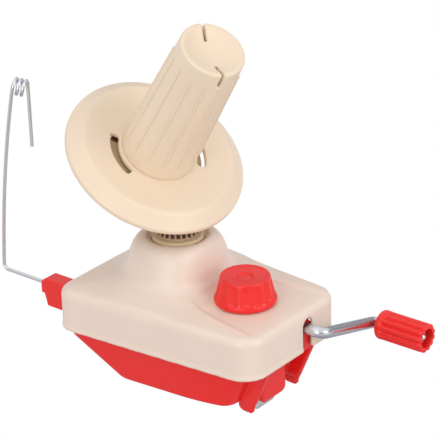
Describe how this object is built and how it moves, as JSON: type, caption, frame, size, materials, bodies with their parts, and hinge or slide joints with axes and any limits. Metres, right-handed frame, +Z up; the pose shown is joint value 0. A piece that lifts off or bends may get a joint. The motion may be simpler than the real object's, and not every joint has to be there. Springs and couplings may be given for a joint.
{
  "type": "yarn ball winder",
  "caption": "Hand-cranked yarn ball winder: moulded casing with table clamp and wire yarn guide, geared to a tilted ribbed cone on a disc that turns as it orbits.",
  "frame": {"origin": "on the flat bottom of the casing where it rests on the table, under the spindle axis", "axes": "+X towards the crank end, +Z up along the spindle"},
  "size_m": [0.2257, 0.1152, 0.2097],
  "materials": {
    "cream_plastic": "semi-gloss moulded",
    "red_plastic": "gloss moulded",
    "gear_plastic": "natural",
    "bright_steel": "bright plated",
    "steel": "satin",
    "bush_brass": "turned",
    "pad_rubber": "matte"
  },
  "bodies": {
    "housing": {"upper_shell": "cream_plastic", "lower_shell": "red_plastic", "housing_screws": "steel", "fixed_gear": "gear_plastic", "spindle_bush": "bush_brass", "crank_bushes": "bush_brass", "idler_pin": "steel", "idler_ring": "steel", "guide_block": "red_plastic", "guide_screw": "steel", "knob_washer": "steel"},
    "crank": {"crank_rod": "bright_steel", "crank_gear": "gear_plastic", "crank_ring": "steel", "grip_nut": "bright_steel"},
    "grip": {"crank_grip": "red_plastic"},
    "idler": {"idler_gear": "gear_plastic"},
    "rotor": {"spindle_shaft": "steel", "spindle_pinion": "gear_plastic", "spindle_ring": "steel", "rotor_head": "cream_plastic", "axle_bush": "bush_brass"},
    "cone": {"winding_cone": "cream_plastic", "flange_disc": "cream_plastic", "flange_screws": "steel", "cone_axle": "steel", "hub_gear": "gear_plastic", "axle_ring": "steel"},
    "knob": {"clamp_knob": "red_plastic", "clamp_screw": "steel", "clamp_ring": "steel"},
    "jaw": {"clamp_bracket": "bright_steel", "clamp_nut": "steel", "jaw_pad": "pad_rubber"},
    "guide": {"guide_wire": "bright_steel"}
  },
  "joints": [
    {"name": "crank_spin", "type": "hinge", "parent": "housing", "child": "crank", "pos_m": [0, 0.0102, 0.0357], "axis": [1, 0, 0], "continuous": true},
    {"name": "grip_spin", "type": "hinge", "parent": "crank", "child": "grip", "pos_m": [0.1, 0.05877, 0.02223], "axis": [1, 0, 0], "continuous": true},
    {"name": "idler_spin", "type": "hinge", "parent": "housing", "child": "idler", "pos_m": [0.01662, 0.0102, 0.02], "axis": [0, 0, 1], "continuous": true},
    {"name": "rotor_spin", "type": "hinge", "parent": "housing", "child": "rotor", "pos_m": [0, 0, 0.08], "axis": [0, 0, 1], "continuous": true},
    {"name": "cone_spin", "type": "hinge", "parent": "rotor", "child": "cone", "pos_m": [0, 0, 0.1376], "axis": [0.56, -0.1099, 0.8212], "continuous": true},
    {"name": "knob_turn", "type": "hinge", "parent": "housing", "child": "knob", "pos_m": [0.0453, 0, 0.0466], "axis": [0, 0, 1], "range_deg": [-1283, 3749]},
    {"name": "jaw_slide", "type": "slide", "parent": "housing", "child": "jaw", "axis": [0, 0, 1], "range_m": [-0.0208, 0.0071]},
    {"name": "guide_swing", "type": "hinge", "parent": "housing", "child": "guide", "pos_m": [-0.06, -0.0302, 0.0361], "axis": [1, 0, 0], "range_deg": [-90, 90]}
  ],
  "couplings": [
    {"joint": "idler_spin", "follows": "crank_spin", "ratio": 1.1429},
    {"joint": "rotor_spin", "follows": "crank_spin", "ratio": -2.9091},
    {"joint": "cone_spin", "follows": "crank_spin", "ratio": -1.3173},
    {"joint": "knob_turn", "follows": "jaw_slide", "rad_per_m": -3141.6}
  ]
}
